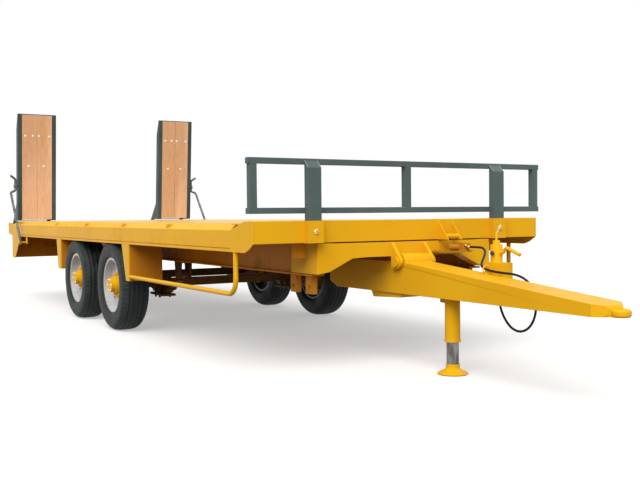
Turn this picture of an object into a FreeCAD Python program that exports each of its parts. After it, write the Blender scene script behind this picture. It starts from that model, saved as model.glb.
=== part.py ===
"""Tandem-axle plant and equipment trailer with rear ramps, headboard and drop-leg jack.

Frame: +X forwards to the towing eye, +Y to the left, +Z up, in millimetres.
The origin is on the ground, below the middle of the trailer's box.
It stands parked: on its four wheels and its jack, ramps up, deck level.
"""
import FreeCAD, Part
import math
import os

from FreeCAD import Vector

# ---- overall sizes
overall_length = 9530.0     # tail plates to the nose of the towing eye
drawbar_reach = 1955.0      # nose of the eye ahead of the deck's front face
deck_width = 2500.0
deck_height = 1030.0        # top of the floor
plate = 12.0                # gussets, ears and tail plates

# ---- stations along the trailer
beam_x = overall_length / 2 - drawbar_reach     # front face of the front beam
rear_x = -overall_length / 2                    # rear edge of the tail plates
front_axle_x = beam_x - 3102.0
axle_spacing = 1216.0
axle_stations = (front_axle_x, front_axle_x - axle_spacing)
half_width = deck_width / 2

# ---- chassis
floor_thickness = 8.0
bearer_height = 142.0
beam_height = 220.0
beam_flange = 110.0
beam_centre_y = deck_width / 2 - 550.0
flange_thickness = 12.0
web_thickness = 8.0
floor_bottom = deck_height - floor_thickness
beam_top = floor_bottom - bearer_height
beam_bottom = beam_top - beam_height
rear_beam_depth = 80.0
panel_bottom = 543.0
gusset_length = 772.0                # tail plates' gusset, ahead of their rear edge
rear_beam_rear = rear_x + 255.0      # rear face of the rear beam
rear_beam_front = rear_beam_rear + rear_beam_depth

# ---- side rail, a folded section with a bevelled top and a rub strip below
rail_thickness = 8.0
rail_inner = half_width - 110.0
rail_shoulder = deck_height - 47.0   # where the bevel meets the face
rail_bevel = 60.0
rail_face_bottom = deck_height - 170.0
rail_return = 22.0
strip_depth = 26.0
strip_width = 16.0
strip_groove = 7.0                   # shadow line between the strip and the face
strip_bottom = rail_face_bottom - strip_depth
wing_length = 345.0                  # corner plates at the deck's front

# ---- front beam and neck
front_beam_depth = 150.0
front_beam_height = 150.0
front_beam_top = deck_height + 13.0
front_beam_bottom = front_beam_top - front_beam_height
neck_depth = 100.0
neck_half_width = beam_centre_y + beam_flange / 2
neck_top = front_beam_bottom - 8.0
neck_centre_bottom = neck_top - 103.0
neck_end_bottom = beam_bottom + 16.0
neck_cheek_length = 370.0

# ---- headboard
frame_tube = 50.0
frame_rail_height = 40.0
frame_half_width = half_width + 26.0
frame_bottom = front_beam_top + 49.0
frame_top = front_beam_top + 417.0
post_centre_y = 810.0
post_width = 100.0
post_depth = 55.0
post_wall = 6.0
post_front_drop = 50.0
socket_wall = 8.0
socket_clearance = 2.0

# ---- wheels
tyre_radius = 433.5
tyre_width = 262.0
tyre_centre_y = half_width - 146.0
rim_seat_radius = 247.65
rim_half_width = 95.0
rim_flange_radius = 260.0
rim_flange_thickness = 11.0
rim_wall = 9.0
disc_offset = 36.0
disc_thickness = 12.0
hand_hole_radius = 20.0
hand_hole_circle = 190.0
hand_hole_count = 8
hub_radius = 84.0
hub_cap_radius = 68.0
hub_reach = 128.0
drum_radius = 155.0
drum_inner = -150.0
drum_outer = -25.0
spindle_radius = 35.0
axle_section = 80.0
running_clearance = 0.06
axle_z = tyre_radius

# ---- suspension
spring_half_length = 545.0
spring_rise = 160.0
leaf_thickness = 12.0
leaf_width = 76.0
leaf_count = 5
clamp_bolt_radius = 10.0
clamp_bolt_gap = 6.0        # between the axle's side and its clamp bolts
spring_eye_radius = 26.0
spring_pin_radius = 12.0
hanger_plate = 12.0

# ---- mudguard plates
guard_front_setback = 2475.0
guard_rear_setback = 4800.0
guard_plate = 8.0
guard_inner_y = 935.0
guard_bottom = 507.0

# ---- side guard rails
rail_tube_radius = 17.5
rail_bend_radius = 110.0
rail_tube_z = 545.0
rail_tube_front_setback = 295.0

# ---- drawbar
drawbar_half_width = 120.0
drawbar_wall = 8.0
drawbar_bottom = beam_bottom - 143.0
pivot_x = beam_x + 60.0
pivot_z = beam_bottom + 85.0
pivot_tube_radius = 60.0
pivot_pin_radius = 25.0
ear_gap = 8.0
ear_thickness = 28.0
drawbar_front_x = beam_x + 1800.0
drawbar_front_top = drawbar_bottom + 71.0
drawbar_rear_x = beam_x - 894.0
eye_outer_radius = 55.0
eye_bore_radius = 25.0
eye_thickness = 45.0
eye_x = overall_length / 2 - eye_outer_radius
eye_z = drawbar_bottom + 23.0

# ---- jack
jack_x = beam_x + 489.0
jack_tube_radius = 52.0
jack_leg_radius = 42.0
jack_leg_wall = 6.0
jack_tube_bottom = 220.0
jack_leg_top = 540.0
jack_collar_radius = 47.0
jack_collar_top = 70.0
jack_foot_radius = 105.0
jack_foot_edge = 14.0

# ---- ramps
ramp_width = 500.0
ramp_outer_y = half_width - 20.0
ramp_side_width = 52.0
ramp_depth = 95.0
ramp_length = 1420.0
ramp_lean = math.radians(4.5)
ramp_foot_x = rear_x + 513.0
ramp_foot_clearance = 10.0
ramp_tip_thickness = 22.0
ramp_taper = 210.0
board_thickness = 40.0
board_gap = 3.0
hinge_x = rear_x + 155.0
hinge_z = deck_height - 130.0
hinge_pin_radius = 16.0
hinge_eye_radius = 45.0
hinge_side_gap = 7.0
lug_thickness = 15.0

# ---- ramp stays
stay_bar_radius = 15.0
stay_bar_y = half_width + 68.0
stay_catch_x = rear_x + 1065.0
stay_catch_z = strip_bottom - 69.0
stay_catch_radius = 10.0
stay_pivot_along = 460.0
stay_pivot_radius = 12.0

# ---- hand pump, valve and hose
pump_x = beam_x + 745.0
pump_half_length = 85.0
pump_near_y = drawbar_half_width + 15.0
pump_far_y = drawbar_half_width + 105.0
pump_bottom = drawbar_bottom + 103.0
pump_top = drawbar_bottom + 241.0
hose_radius = 8.0

nodes = {}


# ---- shape helpers
def box(x0, x1, y0, y1, z0, z1):
    """Box between two corners."""
    return Part.makeBox(x1 - x0, y1 - y0, z1 - z0, Vector(x0, y0, z0))


def polygon_face(points):
    """Flat face inside a closed loop of straight edges."""
    return Part.Face(Part.makePolygon(list(points) + [points[0]]))


def slab_xz(points, y0, y1):
    """Outline in X and Z, carried from y0 to y1."""
    face = polygon_face([Vector(x, y0, z) for x, z in points])
    return face.extrude(Vector(0, y1 - y0, 0))


def slab_yz(points, x0, x1):
    """Outline in Y and Z, carried from x0 to x1."""
    face = polygon_face([Vector(x0, y, z) for y, z in points])
    return face.extrude(Vector(x1 - x0, 0, 0))


def slab_xy(points, z0, z1):
    """Outline in X and Y, carried from z0 to z1."""
    face = polygon_face([Vector(x, y, z0) for x, y in points])
    return face.extrude(Vector(0, 0, z1 - z0))


def rod_y(x, z, radius, y0, y1):
    """Round bar along Y."""
    return Part.makeCylinder(radius, y1 - y0, Vector(x, y0, z), Vector(0, 1, 0))


def rod_z(x, y, radius, z0, z1):
    """Round bar along Z."""
    return Part.makeCylinder(radius, z1 - z0, Vector(x, y, z0), Vector(0, 0, 1))


def rod_x(y, z, radius, x0, x1):
    """Round bar along X."""
    return Part.makeCylinder(radius, x1 - x0, Vector(x0, y, z), Vector(1, 0, 0))


def mirrored(shape):
    """The same shape on the other side of the centre plane."""
    return shape.mirror(Vector(0, 0, 0), Vector(0, 1, 0))


def on_side(shape, side):
    """A shape drawn on the left (+1), or its mirror image on the right (-1)."""
    return shape if side > 0 else mirrored(shape)


def pair(shape):
    """A shape and its mirror image as two solids."""
    return Part.makeCompound([shape, mirrored(shape)])


def fused(shapes):
    """One solid from several that share volume or faces."""
    whole = shapes[0]
    for shape in shapes[1:]:
        whole = whole.fuse(shape)
    return whole.removeSplitter()


def bent_wire(points, bend_radii):
    """Straight runs joined by tangent arcs, one radius for each inner point."""
    edges = []
    start = points[0]
    for before, corner, after, radius in zip(points, points[1:], points[2:], bend_radii):
        inward = (before - corner).normalize()
        outward = (after - corner).normalize()
        half_turn = (math.pi - inward.getAngle(outward)) / 2
        reach = radius * math.tan(half_turn)
        first = corner + inward * reach
        last = corner + outward * reach
        bisector = (inward + outward).normalize()
        centre = corner + bisector * (radius / math.cos(half_turn))
        middle = centre - bisector * radius
        edges.append(Part.LineSegment(start, first).toShape())
        edges.append(Part.Arc(first, middle, last).toShape())
        start = last
    edges.append(Part.LineSegment(start, points[-1]).toShape())
    return Part.Wire(edges)


def bent_bar(points, radius, bend_radii):
    """Round bar or tube carried along a bent wire."""
    path = bent_wire(points, bend_radii)
    direction = points[1] - points[0]
    ring = Part.Wire(Part.Circle(points[0], direction, radius).toShape())
    return path.makePipeShell([ring], True, False)


def ring_about_y(profile, x, z):
    """Outline of (radius, y) points turned about the line along Y through x, z."""
    face = polygon_face([Vector(x + radius, y, z) for radius, y in profile])
    return face.revolve(Vector(x, 0, z), Vector(0, 1, 0), 360)


# ---- chassis beams
def main_beam():
    """I-beam on the left, from the neck to the rear beam."""
    front = beam_x - neck_depth
    y0 = beam_centre_y - beam_flange / 2
    y1 = beam_centre_y + beam_flange / 2
    half_web = web_thickness / 2
    outline = [(y0, beam_bottom), (y1, beam_bottom), (y1, beam_bottom + flange_thickness),
               (beam_centre_y + half_web, beam_bottom + flange_thickness),
               (beam_centre_y + half_web, beam_top - flange_thickness),
               (y1, beam_top - flange_thickness), (y1, beam_top), (y0, beam_top),
               (y0, beam_top - flange_thickness),
               (beam_centre_y - half_web, beam_top - flange_thickness),
               (beam_centre_y - half_web, beam_bottom + flange_thickness),
               (y0, beam_bottom + flange_thickness)]
    return slab_yz(outline, rear_beam_front, front)


nodes["main_beam_left"] = main_beam()
nodes["main_beam_right"] = mirrored(main_beam())


def cross_bearers():
    """Channels across the chassis that carry the floor, none above a tyre."""
    spacing = 600.0
    width = 60.0
    wall = 8.0
    tyre_room = 360.0
    first = beam_x - front_beam_depth - 250.0
    count = int((first - rear_beam_front - width) // spacing) + 1
    channels = []
    for index in range(count):
        x = first - index * spacing
        near = [axle for axle in axle_stations if abs(x - axle) < tyre_room]
        tyre_inner = tyre_centre_y - tyre_width / 2
        half = min(rail_inner - 5.0, tyre_inner - 25.0 if near else half_width)
        outline = [(x - width / 2, beam_top), (x + width / 2, beam_top),
                   (x + width / 2, beam_top + wall), (x - width / 2 + wall, beam_top + wall),
                   (x - width / 2 + wall, floor_bottom - wall), (x + width / 2, floor_bottom - wall),
                   (x + width / 2, floor_bottom), (x - width / 2, floor_bottom)]
        channels.append(slab_xz(outline, -half, half))
    return Part.makeCompound(channels)


nodes["cross_bearers"] = cross_bearers()


def neck_crossmember():
    """Deep crossmember below the front beam, with cheeks beside the main beams."""
    end = neck_half_width
    outline = [(-end, neck_top), (end, neck_top), (end, neck_end_bottom),
               (end - 90.0, neck_end_bottom + 14.0), (end - 280.0, neck_centre_bottom - 5.0),
               (end - 400.0, neck_centre_bottom), (400.0 - end, neck_centre_bottom),
               (280.0 - end, neck_centre_bottom - 5.0), (90.0 - end, neck_end_bottom + 14.0),
               (-end, neck_end_bottom)]
    body = slab_yz(outline, beam_x - neck_depth, beam_x)
    cheek = box(beam_x - neck_cheek_length, beam_x, end, end + web_thickness,
                neck_end_bottom, neck_top)
    seat = box(beam_x - neck_depth + 5.0, beam_x - 5.0, end - beam_flange, end,
               neck_top, front_beam_bottom)
    return fused([body, cheek, mirrored(cheek), seat, mirrored(seat)])


nodes["neck_crossmember"] = neck_crossmember()

# ---- front beam, its corner plates and the floor
nodes["front_beam"] = box(beam_x - front_beam_depth, beam_x, plate - half_width,
                          half_width - plate, front_beam_bottom, front_beam_top)


def corner_plate():
    """Plate that closes the deck's front corner, left side."""
    strip_end = beam_x - wing_length
    outline = [(strip_end, strip_bottom), (strip_end, rail_shoulder),
               (strip_end + 215.0, front_beam_top), (beam_x, front_beam_top),
               (beam_x, front_beam_bottom), (beam_x - 75.0, front_beam_bottom - 43.0),
               (beam_x - 128.0, strip_bottom)]
    return slab_xz(outline, half_width - plate, half_width)


nodes["corner_plates"] = pair(corner_plate())

floor_front = beam_x - front_beam_depth
nodes["deck_floor"] = box(rear_beam_rear, floor_front, -rail_inner, rail_inner,
                          floor_bottom, deck_height)


def side_rail():
    """Folded edge rail of the left side, with the rub strip welded below it."""
    y1 = half_width
    y0 = y1 - rail_thickness
    rail_top = deck_height - 2.0
    outline = [(y1, rail_face_bottom), (y1, rail_shoulder), (y1 - rail_bevel, rail_top),
               (rail_inner, rail_top), (rail_inner, rail_top - rail_thickness),
               (y1 - rail_bevel - 2.0, rail_top - rail_thickness),
               (y0, rail_shoulder - 4.0), (y0, rail_face_bottom + rail_thickness),
               (y1 - rail_return, rail_face_bottom + rail_thickness),
               (y1 - rail_return, rail_face_bottom)]
    x1 = beam_x - wing_length
    rail = slab_yz(outline, rear_beam_rear, x1)
    front_part = box(x1, floor_front, rail_inner, half_width - plate,
                     rail_top - rail_thickness, rail_top)
    strip = box(rear_x + gusset_length, x1, y1 - strip_width, y1, strip_bottom,
                rail_face_bottom - strip_groove)
    stem = box(rear_x + gusset_length, x1, y1 - strip_width, y1 - strip_width / 2,
               rail_face_bottom - strip_groove, rail_face_bottom)
    return fused([rail, front_part, strip, stem])


nodes["side_rail_left"] = side_rail()
nodes["side_rail_right"] = mirrored(side_rail())

# ---- rear end
rear_beam_bottom = beam_bottom + 20.0
rear_beam_upper = box(rear_beam_rear, rear_beam_front, -rail_inner, rail_inner,
                      rail_face_bottom, floor_bottom)
rear_beam_lower = box(rear_beam_rear, rear_beam_front, plate - half_width, half_width - plate,
                      rear_beam_bottom, rail_face_bottom)
nodes["rear_beam"] = fused([rear_beam_upper, rear_beam_lower])
nodes["rear_panel"] = box(rear_beam_rear, rear_beam_rear + plate,
                          plate - half_width, half_width - plate,
                          panel_bottom, rear_beam_bottom)


def tail_plate():
    """Side plate of the rear end, left side, with a window at the ramp hinge."""
    outline = [(rear_x + gusset_length, rail_face_bottom), (rear_x + 395.0, panel_bottom),
               (rear_x + 220.0, panel_bottom), (rear_x + 232.0, strip_bottom + 6.0),
               (rear_x, strip_bottom + 30.0), (rear_x, rail_shoulder + 27.0),
               (rear_beam_rear, rail_shoulder + 27.0), (rear_beam_rear, rail_face_bottom)]
    blank = slab_xz(outline, half_width - plate, half_width)
    pin_hole = rod_y(hinge_x, hinge_z, hinge_pin_radius + running_clearance,
                     half_width - plate - 1.0, half_width + 1.0)
    return blank.cut(pin_hole)


nodes["tail_plates"] = pair(tail_plate())

lug_starts = (ramp_outer_y - ramp_side_width - hinge_side_gap - lug_thickness,
              ramp_outer_y - ramp_width + ramp_side_width + hinge_side_gap,
              ramp_outer_y - ramp_width - hinge_side_gap - lug_thickness)


def hinge_lugs():
    """Three lugs on the rear beam that hold the left ramp's hinge pin."""
    lugs = []
    for start in lug_starts:
        flat = box(hinge_x, rear_beam_rear, start, start + lug_thickness,
                   hinge_z - hinge_eye_radius, hinge_z + hinge_eye_radius)
        nose = rod_y(hinge_x, hinge_z, hinge_eye_radius, start, start + lug_thickness)
        hole = rod_y(hinge_x, hinge_z, hinge_pin_radius + running_clearance,
                     start - 1.0, start + lug_thickness + 1.0)
        lugs.append(flat.fuse(nose).removeSplitter().cut(hole))
    return lugs


left_lugs = hinge_lugs()
nodes["ramp_hinge_lugs"] = Part.makeCompound(left_lugs + [mirrored(lug) for lug in left_lugs])

pin_inner_y = ramp_outer_y - ramp_width - hinge_side_gap - lug_thickness - 12.0
nodes["ramp_hinge_pins"] = pair(rod_y(hinge_x, hinge_z, hinge_pin_radius,
                                      pin_inner_y, half_width))


# ---- headboard
def headboard_frame():
    """Welded frame of square tube: two long rails, two end uprights and one in the middle."""
    x1 = beam_x + socket_clearance
    x0 = x1 - frame_tube
    end = frame_half_width
    top = box(x0, x1, -end, end, frame_top - frame_rail_height, frame_top)
    bottom = box(x0, x1, -end, end, frame_bottom, frame_bottom + frame_rail_height)
    low = frame_bottom + frame_rail_height
    high = frame_top - frame_rail_height
    inset = 12.0
    upright = box(x0, x1, end - inset - frame_tube, end - inset, low, high)
    middle = box(x0, x1, -frame_tube / 2, frame_tube / 2, low, high)
    return fused([top, bottom, upright, mirrored(upright), middle])


nodes["headboard_frame"] = headboard_frame()


def headboard_post():
    """Rectangular post on the left, its head cut on a slant."""
    x0 = beam_x + socket_clearance
    x1 = x0 + post_depth
    foot = front_beam_bottom + 5.0
    head = frame_top - 12.0
    outline = [(x0, foot), (x1, foot), (x1, head - post_front_drop), (x0, head)]
    y0 = post_centre_y - post_width / 2
    return slab_xz(outline, y0, y0 + post_width)


nodes["headboard_posts"] = pair(headboard_post())


def post_socket():
    """Three-sided socket welded to the front beam, with its clamp bolt."""
    x1 = beam_x + post_depth + 2 * socket_clearance + socket_wall
    half = post_width / 2 + socket_clearance + socket_wall
    shell = box(beam_x, x1, post_centre_y - half, post_centre_y + half,
                front_beam_bottom, front_beam_top)
    inner = half - socket_wall
    bore = box(beam_x - 1.0, x1 - socket_wall, post_centre_y - inner, post_centre_y + inner,
               front_beam_bottom - 1.0, front_beam_top + 1.0)
    post_face = beam_x + socket_clearance + post_depth
    bolt = rod_x(post_centre_y, front_beam_top - 73.0, 12.0, post_face, x1 + 12.0)
    return shell.cut(bore).fuse(bolt).removeSplitter()


nodes["post_sockets"] = pair(post_socket())


# ---- mudguard plates and side guard rails
def mudguard(setback, gusset_top, gusset_bottom):
    """Cross plate and side gusset on the left, at a distance behind the front face."""
    x1 = beam_x - setback
    cross = box(x1 - guard_plate, x1, guard_inner_y, half_width - plate,
                guard_bottom, strip_bottom)
    outline = [(x1, guard_bottom), (x1, strip_bottom), (x1 - gusset_top, strip_bottom),
               (x1 - gusset_bottom, guard_bottom)]
    return cross.fuse(slab_xz(outline, half_width - plate, half_width)).removeSplitter()


front_guard = mudguard(guard_front_setback, 193.0, 82.0)
rear_guard = mudguard(guard_rear_setback, 179.0, 115.0)
nodes["mudguards"] = Part.makeCompound([front_guard, mirrored(front_guard),
                                        rear_guard, mirrored(rear_guard)])


def side_guard():
    """Round tube from the mudguard plate forwards and up to the corner plate."""
    y = half_width - rail_tube_radius
    points = [Vector(beam_x - guard_front_setback, y, rail_tube_z),
              Vector(beam_x - rail_tube_front_setback, y, rail_tube_z),
              Vector(beam_x - rail_tube_front_setback, y, strip_bottom)]
    return bent_bar(points, rail_tube_radius, [rail_bend_radius])


nodes["side_guard_left"] = side_guard()
nodes["side_guard_right"] = mirrored(side_guard())


# ---- drawbar, its pivot and the towing eye
def drawbar_outline(inset):
    """Side view of the drawbar, drawn in by a wall thickness."""
    low = drawbar_bottom + inset
    return [(drawbar_rear_x + 104.0 + inset, low), (drawbar_front_x - inset, low),
            (drawbar_front_x - inset, drawbar_front_top - inset),
            (pivot_x, pivot_z - inset), (drawbar_rear_x + inset, pivot_z - inset),
            (drawbar_rear_x + inset, low + 43.0)]


def drawbar():
    """Hollow tapered box with the pivot tube across it and a skid plate below."""
    half = drawbar_half_width
    shell = slab_xz(drawbar_outline(0.0), -half, half)
    hollow = slab_xz(drawbar_outline(drawbar_wall), drawbar_wall - half, half - drawbar_wall)
    tube = rod_y(pivot_x, pivot_z, pivot_tube_radius, -half, half)
    bore = rod_y(pivot_x, pivot_z, pivot_pin_radius + running_clearance, -half - 1, half + 1)
    leg_hole = rod_z(jack_x, 0, jack_leg_radius + 3.0, drawbar_bottom - 1.0,
                     drawbar_bottom + drawbar_wall + 1.0)
    skid = slab_xz([(beam_x - 330.0, drawbar_bottom), (beam_x - 300.0, drawbar_bottom - 46.0),
                    (beam_x + 30.0, drawbar_bottom - 30.0), (beam_x + 80.0, drawbar_bottom)],
                   -half + 15.0, half - 15.0)
    return shell.cut(hollow).fuse(tube).fuse(skid).cut(bore).cut(leg_hole).removeSplitter()


nodes["drawbar"] = drawbar()

ear_inner = drawbar_half_width + ear_gap


def drawbar_ear():
    """Ear on the neck's front face that carries the pivot pin, left side."""
    y1 = ear_inner + ear_thickness
    radius = 48.0
    outline = [(beam_x, neck_top - 4.0), (pivot_x + radius * 0.9, pivot_z + radius * 0.45),
               (pivot_x, pivot_z - radius), (beam_x, pivot_z - radius)]
    nose = rod_y(pivot_x, pivot_z, radius, ear_inner, y1)
    hole = rod_y(pivot_x, pivot_z, pivot_pin_radius + running_clearance,
                 ear_inner - 1.0, y1 + 1.0)
    return slab_xz(outline, ear_inner, y1).fuse(nose).removeSplitter().cut(hole)


nodes["drawbar_ears"] = pair(drawbar_ear())


def drawbar_pin():
    """Pivot pin with a head at each end."""
    outer = ear_inner + ear_thickness
    head = rod_y(pivot_x, pivot_z, pivot_pin_radius + 10.0, outer, outer + 14.0)
    shank = rod_y(pivot_x, pivot_z, pivot_pin_radius, -outer - 5.0, outer + 5.0)
    return fused([shank, head, mirrored(head)])


nodes["drawbar_pin"] = drawbar_pin()


def towing_eye():
    """Forged ring eye with a shank let on to the end of the drawbar."""
    ring = rod_z(eye_x, 0, eye_outer_radius, eye_z - eye_thickness / 2, eye_z + eye_thickness / 2)
    rims = [edge for edge in ring.Edges if edge.Curve.TypeId == "Part::GeomCircle"]
    ring = ring.makeFillet(eye_thickness * 0.35, rims)
    shank = slab_xy([(drawbar_front_x, -70.0), (drawbar_front_x + 45.0, -66.0),
                     (eye_x - 10.0, -38.0), (eye_x - 10.0, 38.0),
                     (drawbar_front_x + 45.0, 66.0), (drawbar_front_x, 70.0)],
                    eye_z - 22.0, eye_z + 22.0)
    half = drawbar_half_width
    tip_x = drawbar_front_x + 66.0
    side_view = slab_xz([(drawbar_front_x, drawbar_bottom), (tip_x - 22.0, drawbar_bottom),
                         (tip_x, eye_z - 8.0), (tip_x, eye_z + 24.0), (tip_x - 12.0, eye_z + 40.0),
                         (drawbar_front_x, drawbar_front_top)], -half, half)
    top_view = slab_xy([(drawbar_front_x, -half), (tip_x, -58.0), (tip_x, 58.0),
                        (drawbar_front_x, half)], drawbar_bottom - 1.0, drawbar_front_top + 1.0)
    boss = side_view.common(top_view)
    bore = rod_z(eye_x, 0, eye_bore_radius, eye_z - 100.0, eye_z + 100.0)
    return fused([ring, shank, boss]).cut(bore)


nodes["towing_eye"] = towing_eye()


# ---- axles and springs
def axle(x):
    """Square beam with a turned spindle at each end."""
    half = axle_section / 2
    beam_end = tyre_centre_y + drum_inner - 20.0
    spindle_end = tyre_centre_y + hub_reach - 28.0
    beam = box(x - half, x + half, -beam_end, beam_end, axle_z - half, axle_z + half)
    spindle = rod_y(x, axle_z, spindle_radius, -spindle_end, spindle_end)
    return fused([beam, spindle])


for name, x in zip(("front", "rear"), axle_stations):
    nodes["axle_" + name] = axle(x)

spring_radius = (spring_half_length ** 2 + spring_rise ** 2) / (2 * spring_rise)
leaf_curve_rise = (axle_section / 2) ** 2 / (2 * spring_radius) + 0.1   # across the axle
spring_seat_z = axle_z - axle_section / 2 - leaf_curve_rise             # top of the leaf pack
spring_eye_z = spring_seat_z + spring_rise - leaf_thickness / 2


def leaf(x, index):
    """One curved leaf: the band between two arcs about one centre."""
    half_span = spring_half_length * (1 - 0.17 * index)
    outer = spring_radius + (index + 1) * leaf_thickness
    inner = spring_radius + index * leaf_thickness
    half_angle = math.asin(half_span / (spring_radius + leaf_thickness / 2))
    centre_z = spring_seat_z + spring_radius

    def arc_point(radius, angle):
        return Vector(x + radius * math.sin(angle), beam_centre_y - leaf_width / 2,
                      centre_z - radius * math.cos(angle))

    edges = [Part.Arc(arc_point(inner, -half_angle), arc_point(inner, 0),
                      arc_point(inner, half_angle)).toShape(),
             Part.LineSegment(arc_point(inner, half_angle), arc_point(outer, half_angle)).toShape(),
             Part.Arc(arc_point(outer, half_angle), arc_point(outer, 0),
                      arc_point(outer, -half_angle)).toShape(),
             Part.LineSegment(arc_point(outer, -half_angle), arc_point(inner, -half_angle)).toShape()]
    return Part.Face(Part.Wire(edges)).extrude(Vector(0, leaf_width, 0))


def leaf_spring(x):
    """Pack of leaves with a rolled eye at each end of the longest, left side."""
    pack = [leaf(x, index) for index in range(leaf_count)]
    y0 = beam_centre_y - leaf_width / 2
    y1 = beam_centre_y + leaf_width / 2
    for end in (-1, 1):
        pack.append(rod_y(x + end * spring_half_length, spring_eye_z, spring_eye_radius, y0, y1))
    spring = fused(pack)
    for end in (-1, 1):
        hole = rod_y(x + end * spring_half_length, spring_eye_z,
                     spring_pin_radius + running_clearance, y0 - 1.0, y1 + 1.0)
        spring = spring.cut(hole)
    return spring


springs = [leaf_spring(x) for x in axle_stations]
nodes["leaf_springs"] = Part.makeCompound(springs + [mirrored(spring) for spring in springs])


def axle_clamp(x):
    """Plates above the axle and below the spring, drawn together by four bolts."""
    pack_bottom = spring_seat_z - leaf_count * leaf_thickness
    half_y = leaf_width / 2 + 26.0
    lower = box(x - 180.0, x + 180.0, beam_centre_y - half_y, beam_centre_y + half_y,
                pack_bottom - 22.0, pack_bottom)
    axle_top = axle_z + axle_section / 2
    upper = box(x - 75.0, x + 75.0, beam_centre_y - half_y, beam_centre_y + half_y,
                axle_top, axle_top + 16.0)
    pieces = [lower, upper]
    reach = axle_section / 2 + clamp_bolt_gap + clamp_bolt_radius
    for dx in (-reach, reach):
        for dy in (-1, 1):
            y = beam_centre_y + dy * (leaf_width / 2 + 13.0)
            pieces.append(rod_z(x + dx, y, clamp_bolt_radius, pack_bottom - 42.0, axle_top + 30.0))
    return fused(pieces)


clamps = [axle_clamp(x) for x in axle_stations]
nodes["axle_clamps"] = Part.makeCompound(clamps + [mirrored(clamp) for clamp in clamps])


def spring_hanger(eye_stations, half_length):
    """Two plates below the main beam with a pin for each spring eye, left side."""
    middle = sum(eye_stations) / len(eye_stations)
    reach = leaf_width / 2 + 5.0
    drop = spring_eye_z - spring_eye_radius - 10.0
    outline = [(middle - half_length, beam_bottom - hanger_plate),
               (middle + half_length, beam_bottom - hanger_plate),
               (middle + half_length * 0.75, drop), (middle - half_length * 0.75, drop)]
    pieces = [box(middle - half_length, middle + half_length, beam_centre_y - beam_flange / 2,
                  beam_centre_y + beam_flange / 2, beam_bottom - hanger_plate, beam_bottom)]
    for y0 in (beam_centre_y - reach - hanger_plate, beam_centre_y + reach):
        pieces.append(slab_xz(outline, y0, y0 + hanger_plate))
    for x in eye_stations:
        pieces.append(rod_y(x, spring_eye_z, spring_pin_radius,
                            beam_centre_y - reach - 22.0, beam_centre_y + reach + 22.0))
    return fused(pieces)


spring_front = axle_stations[0] + spring_half_length
spring_rear = axle_stations[1] - spring_half_length
middle_eyes = [axle_stations[0] - spring_half_length, axle_stations[1] + spring_half_length]
hangers = [spring_hanger([spring_front], 80.0), spring_hanger(middle_eyes, 150.0),
           spring_hanger([spring_rear], 80.0)]
nodes["spring_hangers"] = Part.makeCompound(hangers + [mirrored(hanger) for hanger in hangers])


# ---- wheels
def tyre(x, side):
    """Tyre with bulged sidewalls; its bead sits between the rim flanges."""
    half = tyre_width / 2
    bead = rim_half_width
    crown = half - 32.0

    def at(radius, y):
        return Vector(x + radius, y, axle_z)

    centre = tyre_centre_y
    shoulder = tyre_radius - 22.0
    edges = [Part.LineSegment(at(rim_seat_radius, centre - bead), at(rim_seat_radius, centre + bead)),
             Part.LineSegment(at(rim_seat_radius, centre + bead), at(rim_flange_radius + 4, centre + bead)),
             Part.Arc(at(rim_flange_radius + 4, centre + bead), at(rim_flange_radius + 70, centre + half),
                      at(shoulder, centre + half - 12)),
             Part.Arc(at(shoulder, centre + half - 12), at(tyre_radius - 6, centre + half - 20),
                      at(tyre_radius, centre + crown)),
             Part.LineSegment(at(tyre_radius, centre + crown), at(tyre_radius, centre - crown)),
             Part.Arc(at(tyre_radius, centre - crown), at(tyre_radius - 6, centre - half + 20),
                      at(shoulder, centre - half + 12)),
             Part.Arc(at(shoulder, centre - half + 12), at(rim_flange_radius + 70, centre - half),
                      at(rim_flange_radius + 4, centre - bead)),
             Part.LineSegment(at(rim_flange_radius + 4, centre - bead), at(rim_seat_radius, centre - bead))]
    face = Part.Face(Part.Wire([edge.toShape() for edge in edges]))
    return on_side(face.revolve(Vector(x, 0, axle_z), Vector(0, 1, 0), 360), side)


def rim(x, side):
    """Barrel with two flanges and a dished disc with hand holes."""
    inner = rim_seat_radius - rim_wall
    outer_y = rim_half_width + rim_flange_thickness
    centre = tyre_centre_y
    profile = [(rim_seat_radius, -rim_half_width), (rim_flange_radius, -rim_half_width),
               (rim_flange_radius, -outer_y), (inner, -outer_y), (inner, outer_y),
               (rim_flange_radius, outer_y), (rim_flange_radius, rim_half_width),
               (rim_seat_radius, rim_half_width)]
    barrel = ring_about_y([(radius, centre + y) for radius, y in profile], x, axle_z)
    disc_y = centre + disc_offset
    disc = rod_y(x, axle_z, inner, disc_y - disc_thickness, disc_y)
    disc = disc.cut(rod_y(x, axle_z, hub_radius, disc_y - disc_thickness - 1, disc_y + 1))
    for index in range(hand_hole_count):
        angle = 2 * math.pi * index / hand_hole_count
        disc = disc.cut(rod_y(x + hand_hole_circle * math.cos(angle),
                              axle_z + hand_hole_circle * math.sin(angle),
                              hand_hole_radius, disc_y - disc_thickness - 1, disc_y + 1))
    return on_side(fused([barrel, disc]), side)


def hub(x, side):
    """Brake drum, hub and cap turned on the spindle."""
    centre = tyre_centre_y
    cap_start = centre + disc_offset + 46.0
    bore_end = centre + hub_reach - 23.0
    drum = rod_y(x, axle_z, drum_radius, centre + drum_inner, centre + drum_outer)
    body = rod_y(x, axle_z, hub_radius, centre + drum_outer, cap_start)
    cap = rod_y(x, axle_z, hub_cap_radius, cap_start, centre + hub_reach)
    bore = rod_y(x, axle_z, spindle_radius + running_clearance, centre + drum_inner - 1, bore_end)
    return on_side(fused([drum, body, cap]).cut(bore), side)


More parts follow.
